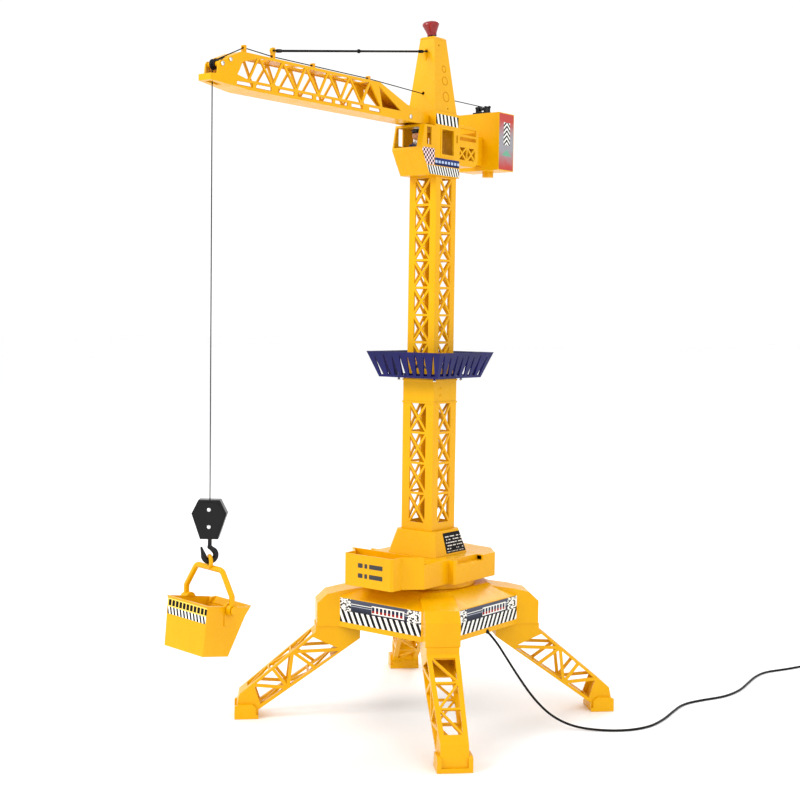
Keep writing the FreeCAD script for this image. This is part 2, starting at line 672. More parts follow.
def upper_tower():
    top = CAB_LOW + 12
    heights = (UPPER_LOW, top, COLLAR_TOP - 31, UPPER_TOP - 1)
    shape = square_tower(UPPER_HALF, UPPER_POST, heights, UPPER_BAYS)
    return tower_halves(shape, UPPER_HALF, UPPER_LOW, top,
                        ("upper_tower_front_shell", "upper_tower_rear_shell"))


def tower_coupler():
    """The square plug inside both towers where they meet."""
    plug_half = UPPER_HALF - 3.0 - FIT
    flange_half = LOWER_HALF - 3.0 - FIT
    plug = tube_square(plug_half, plug_half - 3, 560, 612)
    flange = tube_square(flange_half, plug_half - 1, 560, LOWER_TOP)
    return fuse([plug, flange])


def service_platform():
    """The blue flared gallery: a floor plate and four slotted, outward-leaning walls."""
    t = 2.2
    outer = loft(rectangle(COLLAR_LOW_HALF, COLLAR_LOW_HALF), COLLAR_LOW,
                 rectangle(COLLAR_TOP_HALF, COLLAR_TOP_HALF), COLLAR_TOP)
    hollow = loft(rectangle(COLLAR_LOW_HALF - t, COLLAR_LOW_HALF - t), COLLAR_LOW + t,
                  rectangle(COLLAR_TOP_HALF - t, COLLAR_TOP_HALF - t), COLLAR_TOP + 0.01)
    hole = UPPER_HALF + FIT
    tools = [box((-hole, -hole, COLLAR_LOW - 1), (hole, hole, COLLAR_LOW + 5))]
    first = COLLAR_LOW_HALF - 9
    pitch = 2 * first / (COLLAR_SLOTS - 1)
    for k in range(COLLAR_SLOTS):
        low_y = -first + pitch * k
        top_y = low_y * (1 + 0.2 * abs(low_y) / COLLAR_LOW_HALF)
        top_z = COLLAR_TOP - (5 if k % 2 else 8)
        slot = [(low_y - SLOT_LOW_HALF, COLLAR_LOW + 4), (low_y + SLOT_LOW_HALF, COLLAR_LOW + 4),
                (top_y + SLOT_TOP_HALF, top_z), (top_y - SLOT_TOP_HALF, top_z)]
        tools.append(prism_x(slot, -120, 120))
        tools.append(prism_y(slot, -120, 120))
    sleeve = tube_square(hole + 3, hole, COLLAR_LOW, COLLAR_LOW + 6)
    return fuse([cut(outer.cut(hollow), tools), sleeve])


def collar_screws():
    heads = []
    reach = LOWER_HALF + 5.5
    for x, y in ((reach, -reach), (-reach, reach), (reach, reach), (-reach, -reach)):
        head = cylinder(2.6, (x, y, COLLAR_LOW - 6), (x, y, COLLAR_LOW - 3.4))
        heads.append(fuse([head, cylinder(1.6, (x, y, COLLAR_LOW - 3.4), (x, y, COLLAR_LOW))]))
    return heads


# ---- cab and head ----
def cab_outline(shrink):
    s = shrink
    return [(CAB_BACK + s, CAB_LOW + s), (51 - s * 0.6, CAB_LOW + s), (CAB_KNEE_X - s, CAB_KNEE_Z),
            (CAB_SILL_X - s, CAB_TOP - s), (CAB_BACK + s, CAB_TOP - s)]


def cab_shell():
    room = prism_y(cab_outline(WALL), -CAB_HALF + WALL, CAB_HALF - WALL)
    window_top = CAB_TOP - 4
    front_window = box((50, -28.5, CAB_KNEE_Z + 4), (90, 20, window_top))
    narrow_window = box((47.5, -60, 983), (60, 60, window_top))
    door_window = box((-15, -60, 970), (19, 60, window_top))
    rear_window = box((-28, -60, 993), (-24, 60, 1006))
    hole_half = UPPER_HALF + FIT
    shaft_hole = box((-hole_half, -hole_half, CAB_LOW - 1), (hole_half, hole_half, CAB_LOW + 7))
    shell = cut(prism_y(cab_outline(0), -CAB_HALF, CAB_HALF),
                [room, front_window, narrow_window, door_window, rear_window, shaft_hole])
    frame = box((-18, CAB_HALF - 1, 966), (22, CAB_HALF + 1.2, CAB_TOP - 1)).cut(door_window)
    socket = tube_square(hole_half + 2.2, hole_half, CAB_LOW, CAB_LOW + 14)
    whole = fuse([shell, socket, frame, frame.mirror(V(0, 0, 0), ACROSS)])
    return halves(whole, ("cab_left_shell", "cab_right_shell"))


def tube_square(outer, inner, low, high):
    inside = box((-inner, -inner, low - 1), (inner, inner, high + 1))
    return box((-outer, -outer, low), (outer, outer, high)).cut(inside)


def cab_interior():
    """The driver's seat and the sloping control desk, both standing on the cab floor."""
    cushion = box((30, -12, 957), (49.6, 12, SEAT_Z))
    back = prism_y([(28, 957), (32, 957), (29.5, 984), (26.5, 984)], -11, 11)
    pillar = box((40, -5, CAB_LOW + WALL), (48, 5, 958))
    desk = prism_y([(57, 962), (66, 966), (66, 977), (59, 975)], -20, 20)
    foot = prism_y([(55, 944.6), (60, 953.1), (60, 965), (58, 963)], -6, 6)
    return Part.makeCompound([fuse([cushion, back, pillar]), fuse([desk, foot])])


def driver_figure():
    """A seated toy driver: trousers, jacket, head and a flat cap."""
    x = 43.0
    thighs = box((36, -10, SEAT_Z), (54, 10, SEAT_Z + 7))
    shins = [box((50, y, 945.5), (54, y + 5, SEAT_Z + 1)) for y in (-10, 5)]
    torso = loft(rectangle(6.5, 11.0, x - 1), SEAT_Z, rectangle(6.0, 12.5, x), 989)
    arm = fuse([Part.makeSphere(3.4, V(x, 12, 986)), cylinder(3.2, (x, 12, 986), (46, 13.5, 974)),
                cylinder(2.8, (46, 13.5, 974), (55, 9, 975.5))])
    neck = cylinder(3.6, (x, 0, 988), (x, 0, 995))
    head = Part.makeSphere(8.6, V(x + 1, 0, 1001.5))
    crown = cone(9.0, 6.8, (x + 0.5, 0, 1004.2), (x + 0.2, 0, 1012))
    brim = cylinder(9.8, (x + 2.6, 0, 1003.8), (x + 2.6, 0, 1005.4))
    figure = fuse([thighs, torso, neck, head, crown, brim, arm, arm.mirror(V(0, 0, 0), ACROSS)] + shins)
    figure.translate(V(0, -3, 0))
    return figure


def head_anchor():
    """The eye on the head's front face that holds the pendant, on its gusset."""
    x, z = PENDANT_HEAD
    eye = cylinder(4.6, (x, -2, z), (x, 2, z))
    gusset = prism_y([(20, z - 5), (x + 4.2, z - 2), (22.5, z - 28), (20.5, z - 28)], -1.6, 1.6)
    return fuse([eye, gusset]).cut(cylinder(EYE_HOLE_R, (x, -5, z), (x, 5, z)))


def head_marks():
    """Tools for the ring grooves and the two small holes of both side faces."""
    lean = (HEAD_HALF_Y - HEAD_TOP_HALF_Y) / (HEAD_TOP - HEAD_BAND)
    way = V(0, 1, lean).normalize()
    tools = []
    for radius, z in ((6.0, 1116.0), (7.8, 1095.7), (9.0, 1068.7)):
        middle = V(1, HEAD_HALF_Y - (z - HEAD_BAND) * lean, z)
        start = middle - way * 1.4
        tools.append(Part.makeCylinder(radius, 6, start, way).cut(Part.makeCylinder(radius - 1.5, 6, start, way)))
    tools += [cylinder(1.6, (x, 8, z), (x, 40, z)) for x, z in ((10.6, 1155.0), (-1.6, 1048.7))]
    return tools + [tool.mirror(V(0, 0, 0), ACROSS) for tool in tools]


def jib_clip():
    """Two arms on the head that reach into the jib's root."""
    arms = [box((36, y, JIB_LOW + 4), (98, y + 4, JIB_LOW + 12)) for y in (-14, 10)]
    bore = cylinder(ROOT_PIN_R + SHAFT_GAP, (ROOT_PIN_X, -40, JIB_LOW + 8), (ROOT_PIN_X, 40, JIB_LOW + 8))
    return [arm.cut(bore) for arm in arms]


def tower_head():
    x = HEAD_SHIFT
    outer = loft(rectangle(HEAD_HALF_X, HEAD_HALF_Y, x), HEAD_BAND,
                 rectangle(HEAD_TOP_HALF_X, HEAD_TOP_HALF_Y, x + 1), HEAD_TOP)
    band = box((CAB_BACK, -CAB_HALF, HEAD_LOW), (HEAD_HALF_X + x + 2, CAB_HALF, HEAD_BAND))
    hollow = loft(rectangle(HEAD_HALF_X - WALL, HEAD_HALF_Y - WALL, x), HEAD_LOW - 1,
                  rectangle(HEAD_TOP_HALF_X - WALL, HEAD_TOP_HALF_Y - WALL, x + 1), HEAD_TOP - 3)
    cap = loft(rectangle(HEAD_TOP_HALF_X + 0.6, HEAD_TOP_HALF_Y + 0.6, x + 1), HEAD_TOP,
               rectangle(HEAD_TOP_HALF_X - 1.5, HEAD_TOP_HALF_Y - 1.5, x + 1), HEAD_TOP + 3.5)
    shell = fuse([outer, band, cap]).cut(hollow)
    line_way = cylinder(3.0, (-60, 0, LINE_HIGH), (60, 0, LINE_HIGH + 1.4))
    beacon_socket = cylinder(3.0 + SHAFT_GAP, (BEACON_X, 0, HEAD_TOP - 5), (BEACON_X, 0, HEAD_TOP + 5))
    # the plain union keeps the small faces sound
    whole = shell.multiFuse([head_anchor()] + jib_clip())
    return cut(whole, [line_way, beacon_socket] + head_marks())


def beacon_tilted(shape):
    """Tilt a lamp part made about Z towards the jib and bring it up to its place."""
    placed = shape.copy()
    placed.rotate(V(0, 0, 0), ACROSS, BEACON_TILT)
    placed.translate(V(BEACON_X, 0, BEACON_LOW))
    return placed


def beacon_holder():
    stem = cylinder(3.0, (BEACON_X, 0, HEAD_TOP - 2), (BEACON_X, 0, BEACON_LOW - 1))
    collar = cylinder(6.2, (BEACON_X, 0, HEAD_TOP + 3.5), (BEACON_X, 0, BEACON_LOW - 1.5))
    plate = cylinder(LENS_FOOT_R + 0.3, (0, 0, -2), (0, 0, 0))
    plug = cylinder(LENS_FOOT_R - 1.9, (0, 0, -1), (0, 0, 2))
    lamp = fuse([cylinder(1.6, (0, 0, 0), (0, 0, 8)), Part.makeSphere(3.0, V(0, 0, 9))])
    return fuse([stem, collar, beacon_tilted(fuse([plate, plug, lamp]))])


def beacon_lens():
    """The red lamp: a round cup that widens upwards, with a flattened crown, tilted towards the jib."""
    tilt = math.radians(BEACON_TILT)
    crown_z = (BEACON_TOP - BEACON_LOW - LENS_CROWN_R * math.sin(tilt)) / math.cos(tilt)
    cup = cone(LENS_FOOT_R, LENS_WIDE_R, (0, 0, 0), (0, 0, LENS_WIDE_Z))
    crown = cone(LENS_WIDE_R, LENS_CROWN_R, (0, 0, LENS_WIDE_Z), (0, 0, crown_z))
    inside = cone(LENS_FOOT_R - 1.5, LENS_WIDE_R - 1.8, (0, 0, -0.1), (0, 0, LENS_WIDE_Z))
    return beacon_tilted(fuse([cup, crown]).cut(inside))


# ---- jib ----
def jib_profile():
    return [(JIB_ROOT, JIB_LOW + 4), (60, JIB_LOW), (470, JIB_LOW), (JIB_TIP, 1024), (JIB_TIP, 1033), (529, 1034),
            (527, 1049), (524, 1053), (514, 1055), (509, 1060), (486, 1070), (478, JIB_TOP),
            (JIB_LATTICE_START, JIB_TOP), (100, 1044), (JIB_ROOT, 1034)]


def jib_plan(shrink):
    s = shrink
    return [(JIB_ROOT - 1, -18 + s), (JIB_ROOT + 30, -JIB_HALF + s), (480, -JIB_HALF + s), (JIB_TIP + 1, -12 + s),
            (JIB_TIP + 1, 12 - s), (480, JIB_HALF - s), (JIB_ROOT + 30, JIB_HALF - s), (JIB_ROOT - 1, 18 - s)]


def jib_section(shrink, low, start, end):
    """Cross-section of the jib: upright skirt sides, then sides leaning in to the top chord."""
    half = JIB_HALF - shrink
    top_half = JIB_TOP_HALF - shrink
    top = JIB_TOP - shrink
    return prism_x([(-half, low), (half, low), (half, JIB_SKIRT), (top_half, top), (-top_half, top),
                    (-half, JIB_SKIRT)], start, end)


def jib_room():
    """The hollow of the jib, open at the root and, between the cheeks of the tip, at the top."""
    t = JIB_WALL
    tip = JIB_TIP - t
    room = jib_section(t, JIB_LOW + t, JIB_ROOT - 1, tip)
    side = prism_y([(JIB_ROOT - 1, 1000), (468, 1000), (470, JIB_LOW + t), (tip, 1024 + t), (tip, 1100),
                    (506, 1100), (506, 1058), (485, 1070 - t), (JIB_LATTICE_START + 1, JIB_TOP - t),
                    (101, 1044 - t), (JIB_ROOT - 1, 1034 - t)], -40, 40)
    return room.common(side).common(prism_z(jib_plan(t), 1000, 1100))


def jib_lattice():
    openings = []
    pitch = (JIB_LATTICE_END - JIB_LATTICE_START) / JIB_BAYS
    low = JIB_SKIRT + 0.5
    high = JIB_TOP - 2.5
    for bay in range(JIB_BAYS):
        a = JIB_LATTICE_START + pitch * bay
        peak = a + pitch / 2.0
        triangles = [[(a, low), (a + pitch, low), (peak, high)]]
        if bay < JIB_BAYS - 1:
            triangles.append([(peak, high), (a + pitch, low), (peak + pitch, high)])
        openings += [prism_y(inset(triangle, JIB_BAR / 2.0), -40, 40) for triangle in triangles]
    root_bay = [(112, low), (JIB_LATTICE_START, low), (JIB_LATTICE_START + 6, high - 0.5)]
    tip_bay = [(JIB_LATTICE_END - pitch / 2.0, high), (JIB_LATTICE_END, low), (497, low + 6), (485, 1057)]
    openings += [prism_y(inset(bay, JIB_BAR / 2.0), -40, 40) for bay in (root_bay, tip_bay)]
    return openings


def jib():
    body = prism_y(jib_profile(), -JIB_HALF, JIB_HALF)
    body = body.common(jib_section(0, 1000, 0, 600)).common(prism_z(jib_plan(0), 1000, 1100))
    tools = [jib_room()] + jib_lattice()
    for a, b in JIB_SIDE_SLOTS:
        tools.append(box((a, -40, JIB_SLOT_LOW), (b, 40, JIB_SLOT_HIGH)))
    for a, b in JIB_TOP_SLOTS:
        tools.append(box((a, -10, JIB_TOP - 6), (b, 10, JIB_TOP + 2)))
    tools.append(box((52, -15, 1000), (84, 15, JIB_LOW + 3.5)))
    tools.append(box((SHEAVE_X - 9, -5, 1000), (SHEAVE_X + 14, 5, 1090)))
    tools.append(box((ROLLER_X - 8, -5, JIB_LOW + 14), (SHEAVE_X, 5, 1090)))
    tools.append(box((480, -3, 1060), (ROLLER_X, 3, 1090)))
    bosses = []
    for x, z, radius, half in ((SHEAVE_X, SHEAVE_Z, 4.0, SHEAVE_PIN_HALF),
                               (ROLLER_X, ROLLER_Z, 3.0, ROLLER_PIN_HALF)):
        boss = cylinder(radius, (x, 4, z), (x, half - 1.8, z))
        bosses += [boss, boss.mirror(V(0, 0, 0), ACROSS)]
    bores = [cylinder(radius + SHAFT_GAP, (x, -40, z), (x, 40, z)) for radius, x, z in (
        (SHEAVE_PIN_R, SHEAVE_X, SHEAVE_Z), (ROLLER_PIN_R, ROLLER_X, ROLLER_Z),
        (ROOT_PIN_R, ROOT_PIN_X, JIB_LOW + 8))]
    whole = cut(fuse([cut(body, tools)] + jib_pegs() + bosses), bores)
    return halves(whole, ("jib_left_shell", "jib_right_shell"))


def jib_pegs():
    """Guide eyelets on the jib's top chord; one of them also carries the pendant's eye."""
    pegs = []
    for x, z in PEG_PLACES:
        post = fuse([box((x - 2, -3.6, JIB_TOP - 1), (x + 2, 3.6, z + 3.6)),
                     box((x - 6, -6, JIB_TOP - 1), (x + 6, 6, JIB_TOP + 1.6))])
        if x == PENDANT_JIB[0]:
            eye_z = PENDANT_JIB[1]
            post = fuse([post, box((x - 3, -2, z), (x + 3, 2, eye_z)), cylinder(5, (x, -2, eye_z), (x, 2, eye_z))])
            post = post.cut(cylinder(EYE_HOLE_R, (x, -5, eye_z), (x, 5, eye_z)))
        pegs.append(post.cut(cylinder(2.2, (x - 10, 0, z), (x + 10, 0, z))))
    return pegs


def grooved_wheel(x, z, groove_r, rim_r, half, bore):
    outline = [(bore, -half), (rim_r, -half), (groove_r, -0.7), (groove_r, 0.7), (rim_r, half), (bore, half)]
    points = [V(x + r, y, z) for r, y in outline]
    profile = Part.Face(Part.makePolygon(points + points[:1]))
    return profile.revolve(V(x, 0, z), ACROSS, 360)


def tip_sheave():
    return grooved_wheel(SHEAVE_X, SHEAVE_Z, SHEAVE_GROOVE - FIT, 8.0, 3.5, SHEAVE_PIN_R + SHAFT_GAP)


def guide_roller():
    return grooved_wheel(ROLLER_X, ROLLER_Z, ROLLER_GROOVE, 4.6, 3.5, ROLLER_PIN_R + SHAFT_GAP)


def jib_pins():
    """The pin of the jib's root and the axles of the sheave and of the roller, each with a head."""
    pins = []
    for x, z, radius, half in ((SHEAVE_X, SHEAVE_Z, SHEAVE_PIN_R, SHEAVE_PIN_HALF),
                               (ROLLER_X, ROLLER_Z, ROLLER_PIN_R, ROLLER_PIN_HALF),
                               (ROOT_PIN_X, JIB_LOW + 8, ROOT_PIN_R, JIB_HALF)):
        shank = cylinder(radius, (x, -half, z), (x, half, z))
        heads = [cylinder(radius + 1.2, (x, a, z), (x, b, z)) for a, b in ((half, half + 1.2), (-half - 1.2, -half))]
        pins.append(fuse([shank] + heads))
    return Part.makeCompound(pins)


# ---- counter-jib, winch ----
def counter_jib():
    """Two lattice cheeks behind the cab, and the plain hollow beam that carries the machine box."""
    front = CAB_BACK
    rear = CHEEK_REAR
    outline = [(front, CHEEK_LOW), (rear + 16, CHEEK_LOW), (rear + 7, CHEEK_LOW + 3), (rear + 2, CHEEK_LOW + 9),
               (rear, CHEEK_LOW + 18), (rear, CHEEK_TOP - 12), (rear + 3, CHEEK_TOP - 4), (rear + 10, CHEEK_TOP),
               (front, CHEEK_TOP)]
    middle = (front + rear) / 2.0 + 1.0
    openings = []
    for a, b in ((rear + 8, middle), (middle, front - 4)):
        corners = [(a, CHEEK_LOW + 9), (b, CHEEK_LOW + 9), (b, CHEEK_LOW + 34), (a, CHEEK_LOW + 34)]
        openings += [prism_y(hole, -40, 40) for hole in crossed_bay(corners, 3.6)]
    openings.append(box((rear + 7, -40, 1001), (front - 7, 40, 1007)))
    openings.append(box((rear + 7, -40, 1011), (front - 7, 40, 1021.6)))
    cheeks = [cut(prism_y(outline, y, y + 4), openings) for y in (-24, 20)]
    plates = [box((rear + 16, -21, CHEEK_LOW), (front, 21, CHEEK_LOW + 3)),
              box((rear + 1, -21, CHEEK_LOW + 35.5), (front, 21, CHEEK_LOW + 39)),
              box((rear + 1, -21, CHEEK_LOW + 14), (rear + 4, 21, CHEEK_TOP - 8)),
              box((front - 3, -21, CHEEK_LOW), (front, 21, CHEEK_TOP))]
    beam = box((BOX_FRONT, -BEAM_HALF, BEAM_LOW), (rear + 3, BEAM_HALF, BEAM_TOP))
    hollow = box((BOX_FRONT - 1, -BEAM_HALF + WALL, BEAM_LOW + WALL), (rear + 1, BEAM_HALF - WALL, BEAM_TOP - WALL))
    return fuse(cheeks + plates + [beam.cut(hollow)])


def machine_box():
    """The winch housing, split into a front and a rear shell that four screws hold together."""
    outer = box((BOX_REAR, -BOX_HALF, BOX_LOW), (BOX_FRONT, BOX_HALF, BOX_TOP))
    room = box((BOX_REAR + WALL, -BOX_HALF + WALL, BOX_LOW + WALL),
               (BOX_FRONT - WALL, BOX_HALF - WALL, BOX_TOP - WALL))
    foot = cylinder(10, (-160, 4, BOX_LOW - 10), (-160, 4, BOX_LOW + 1))
    pieces = [outer.cut(room), foot.cut(cylinder(7, (-160, 4, BOX_LOW - 8), (-160, 4, BOX_LOW + 2)))]
    tools = [box((-153, -14, BOX_TOP - 5), (-141, 14, BOX_TOP + 1))]
    for y, z in BOX_SCREWS:
        pieces.append(cylinder(3.4, (BOX_REAR + 1, y, z), (BOX_FRONT - 1, y, z)))
        tools.append(cylinder(SCREW_HOLE_R, (BOX_REAR - 1, y, z), (BOX_REAR + 26, y, z)))
    bearing = tube(4.5, DRUM_SHAFT_R + SHAFT_GAP, (DRUM_X, 33, DRUM_Z), (DRUM_X, BOX_HALF - 1, DRUM_Z))
    pieces += [bearing, bearing.mirror(V(0, 0, 0), ACROSS)]
    body = cut(fuse(pieces), tools)
    big = 300
    front = body.common(box((DRUM_X, -big, 900), (0, big, 1200)))
    rear = body.common(box((-big, -big, 900), (DRUM_X, big, 1200)))
    return {"machine_box_front": front, "machine_box_rear": rear}


def crane_screws():
    """Screws of the machine box and of the service platform."""
    shells = [screw((BOX_REAR, y, z), (BOX_REAR + 24, y, z)) for y, z in BOX_SCREWS]
    return Part.makeCompound(shells + collar_screws())


def line_guide():
    """The black fairlead on top of the machine box: a roller between two ears, and a knob at each end."""
    plate = box((-156, -16, BOX_TOP), (-138, 16, BOX_TOP + 3))
    plate = plate.cut(box((-153, -13, BOX_TOP - 1), (-141, 10, BOX_TOP + 4)))
    lugs = [box((-152, y, BOX_TOP + 2), (-142, y + 3, BOX_TOP + 14)) for y in (-9, 6)]
    bars = [box((-153.5, y, BOX_TOP), (-140.5, y + 3, BOX_TOP + 3)) for y in (-9, 6)]
    roller = cylinder(FAIRLEAD_R, (FAIRLEAD_X, -7, FAIRLEAD_Z), (FAIRLEAD_X, 7, FAIRLEAD_Z))
    knobs = [Part.makeSphere(2.6, V(FAIRLEAD_X, y, BOX_TOP + 12)) for y in (-14, 14)]
    stems = [cylinder(1.6, (FAIRLEAD_X, y, BOX_TOP + 1), (FAIRLEAD_X, y, BOX_TOP + 12)) for y in (-14, 14)]
    saddles = [box((-153.5, y - 1.6, BOX_TOP), (-140.5, y + 1.6, BOX_TOP + 3)) for y in (-14, 14)]
    return fuse([plate, roller] + lugs + bars + stems + knobs + saddles)


WINCH_DISTANCE = GEAR_MODULE * (DRUM_TEETH + WINCH_TEETH) / 2.0


def about_y(shape, x, y, z):
    """Stand a wheel made about Z on the cross axis through (x, z), its lower face at y."""
    stood = shape.copy()
    stood.rotate(V(0, 0, 0), ALONG, -90)
    stood.translate(V(x, y, z))
    return stood


def winch_drum():
    barrel = cylinder(DRUM_R, (DRUM_X, -27, DRUM_Z), (DRUM_X, 24, DRUM_Z))
    flanges = [cylinder(12, (DRUM_X, y, DRUM_Z), (DRUM_X, y + 2, DRUM_Z)) for y in (-28, 18)]
    wheel = about_y(gear(DRUM_TEETH, GEAR_MODULE, 5, 0.5, 0), DRUM_X, 24, DRUM_Z)
    shaft = cylinder(DRUM_SHAFT_R, (DRUM_X, -41, DRUM_Z), (DRUM_X, 41, DRUM_Z))
    return fuse([barrel, wheel, shaft] + flanges)


def winch_motor():
    z = DRUM_Z - WINCH_DISTANCE
    pieces = [cylinder(9.5, (DRUM_X, -16, z), (DRUM_X, 17, z)), cylinder(3, (DRUM_X, -18, z), (DRUM_X, 19.7, z))]
    pieces += [box((DRUM_X - 8, y, BOX_LOW + WALL), (DRUM_X + 8, y + 6, z - 5)) for y in (-14, 8)]
    return fuse(pieces)


def winch_pinion():
    # half a tooth beyond the quarter turn brings a tooth gap to face the drum gear
    z = DRUM_Z - WINCH_DISTANCE
    wheel = turned(gear(WINCH_TEETH, GEAR_MODULE, 6, 0.65, 0), 90.0 + 180.0 / WINCH_TEETH)
    return fuse([about_y(wheel, DRUM_X, 23.5, z), cylinder(1.0, (DRUM_X, 20.0, z), (DRUM_X, 24, z))])


# ---- rope work ----
def hoist_line_jib():
    """The taut line from the drum over the fairlead, through the jib's eyelets and round the tip sheave."""
    fairlead_bend = FAIRLEAD_R + LINE_R + 0.1
    wrap = SHEAVE_GROOVE + LINE_R
    roller_reach = (ROLLER_GROOVE + LINE_R + FIT) * 1.12
    before = V(ROLLER_X, 0, ROLLER_Z + roller_reach)
    to_sheave = V(SHEAVE_X, 0, SHEAVE_Z) - before
    fall = math.atan2(-to_sheave.z, to_sheave.x) - math.asin(wrap / to_sheave.Length)
    over_sheave = (LINE_X, 0, before.z - (LINE_X - ROLLER_X) * math.tan(fall))
    route = [(DRUM_X + DRUM_R + LINE_R + FIT, 0, DRUM_Z), (FAIRLEAD_X - fairlead_bend, 0, LINE_HIGH),
             (30, 0, LINE_HIGH)]
    route += [(x, 0, z) for x, z in PEG_PLACES]
    route += [tuple(before), over_sheave, (LINE_X, 0, LINE_END_Z)]
    bends = [fairlead_bend, 60, 60, 60, 60, 6, 12, wrap]
    return bent_rod(route, LINE_R, bends)


def hoist_line_drop():
    return cylinder(LINE_R, (LINE_X, 0, BLOCK_TOP), (LINE_X, 0, LINE_END_Z))


def pendant_way():
    """Start, end and direction of the straight line between the two pendant eyes."""
    start = V(PENDANT_JIB[0], 0, PENDANT_JIB[1])
    end = V(PENDANT_HEAD[0], 0, PENDANT_HEAD[1])
    return start, end, (end - start).normalize()


def pendant_cord(radius=PENDANT_R):
    start, end, way = pendant_way()
    return Part.makeCylinder(radius, (end - start).Length - 22, start + way * 11, way)


def pendant_fittings():
    """A ring and a crimped ferrule at each end of the pendant, and the bead on it."""
    start, end, way = pendant_way()
    pieces = [Part.makeSphere(3.4, start + way * (0.53 * (end - start).Length))]
    for eye, out in ((start, way), (end, way * -1)):
        ring = Part.makeTorus(EYE_RING_R, 1.1, eye + out * 4.4, out.cross(ACROSS))
        pieces.append(fuse([ring, Part.makeCylinder(2.7, 9, eye + out * 9, out)]))
    rope = pendant_cord(PENDANT_R + SHAFT_GAP)
    return Part.makeCompound([piece.cut(rope) for piece in pieces])


# ---- hook block, hook, bail, bucket ----
def hang(shape, degrees):
    """Turn a piece about the hanging line and bring it there."""
    placed = turned(shape, degrees)
    placed.translate(V(LINE_X, 0, 0))
    return placed


def swung(shape):
    """Swing the bail, or the bucket in it, about the axis of the bail's eye."""
    turn = math.radians(HOOK_TURN)
    return turned(shape, BAIL_SWING, (LINE_X, 0, BEARING_Z), V(math.cos(turn), math.sin(turn), 0))


def block_outline(shrink):
    s = shrink
    low = -BLOCK_DEEP + s
    return [(15.5 - s, -s), (25.5 - s, -20), (13 - s, low), (-13 + s, low), (-25.5 + s, -20), (-15.5 + s, -s)]


def hook_block():
    shapes = {}
    for name, side in (("hook_block_front", 1), ("hook_block_rear", -1)):
        plate = face([(0, y, BLOCK_TOP + z) for y, z in block_outline(0)]).extrude(V(side * BLOCK_T, 0, 0))
        raised = face([(side * (BLOCK_T - 0.01), y, BLOCK_TOP + z) for y, z in block_outline(3.5)]).extrude(
            V(side * 1.5, 0, 0))
        room = face([(0, y, BLOCK_TOP + z) for y, z in block_outline(3)]).extrude(V(side * (BLOCK_T - 3), 0, 0))
        line_hole = cylinder(LINE_R + 0.6, (0, 0, BLOCK_TOP - 8), (0, 0, BLOCK_TOP + 2))
        low = BLOCK_TOP - BLOCK_DEEP
        shank_hole = cylinder(HOOK_SHANK_R + SHAFT_GAP, (0, 0, low - 5), (0, 0, low + 11))
        rivet_holes = [cylinder(2.0, (-30, 0, z), (30, 0, z)) for z in RIVET_HEIGHTS]
        half = cut(fuse([plate, raised]), [room, line_hole, shank_hole] + rivet_holes)
        shapes[name] = hang(half, BLOCK_TURN)
    return shapes


def block_rivets():
    rivets = []
    reach = BLOCK_T + 1.5
    for z in RIVET_HEIGHTS:
        heads = [cone(3.2, 2.4, (side * reach, 0, z), (side * (reach + 1.4), 0, z)) for side in (-1, 1)]
        rivets.append(fuse([cylinder(1.95, (-reach, 0, z), (reach, 0, z))] + heads))
    return hang(Part.makeCompound(rivets), BLOCK_TURN)


def hook():
    """A cast lifting hook: shank, round bowl and a pointed tip, in the XZ plane before it is turned."""
    bowl_r = 9.0
    rod_r = 4.2
    z = EYE_Z + 1.2
    lift = math.radians(50)
    end = V(bowl_r * math.cos(lift), 0, z + bowl_r * math.sin(lift))
    way = V(-math.sin(lift), 0, math.cos(lift))
    throat_long = end.x / math.sin(lift)
    neck_z = end.z + throat_long * math.cos(lift)
    bowl = Part.makeTorus(bowl_r, rod_r, V(0, 0, 0), UP, 0, 360, 180 + 50)
    bowl = turned(bowl, -180)
    bowl.rotate(V(0, 0, 0), ALONG, 90)
    bowl.translate(V(0, 0, z))
    throat = Part.makeCone(rod_r - 0.1, 3.2, throat_long + 1, end - way, way)
    tip = cone(rod_r - 0.1, 1.6, (-bowl_r + 0.2, 0, z - 0.8), (-bowl_r - 3.3, 0, z + 11))
    collar_z = BLOCK_TOP - BLOCK_DEEP + 3.3
    shank = cylinder(HOOK_SHANK_R, (0, 0, neck_z), (0, 0, collar_z + 2.3))
    collar = cylinder(5.5, (0, 0, collar_z), (0, 0, collar_z + 2.5))
    rounds = [Part.makeSphere(3.7, V(0, 0, neck_z)), Part.makeSphere(1.75, V(-bowl_r - 3.3, 0, z + 11))]
    return hang(fuse([bowl, throat, tip, shank, collar] + rounds), HOOK_TURN)


def bail():
    """The bucket's carrying bow with its hanging eye on top."""
    y = BUCKET_TOP_Y + 5.6
    top = EYE_Z - 17
    route = [(LINE_X, -y, LUG_Z), (LINE_X, -y, LUG_Z + 20), (LINE_X, -26, top), (LINE_X, 26, top),
             (LINE_X, y, LUG_Z + 20), (LINE_X, y, LUG_Z)]
    bow = bent_rod(route, BAIL_R, [9.0] * 4)[0]
    sides = (-1, 1)
    eyes = [cylinder(8.5, (LINE_X, s * (y - 3.6), LUG_Z), (LINE_X, s * (y + 3.6), LUG_Z)) for s in sides]
    bores = [cylinder(LUG_R + SHAFT_GAP, (LINE_X, s * (y - 8), LUG_Z), (LINE_X, s * (y + 8), LUG_Z)) for s in sides]
    hanging_eye = hang(Part.makeTorus(8.35, 3.0, V(0, 0, EYE_Z - 8.65), ALONG), HOOK_TURN)
    return swung(cut(fuse([bow, hanging_eye] + eyes), bores))


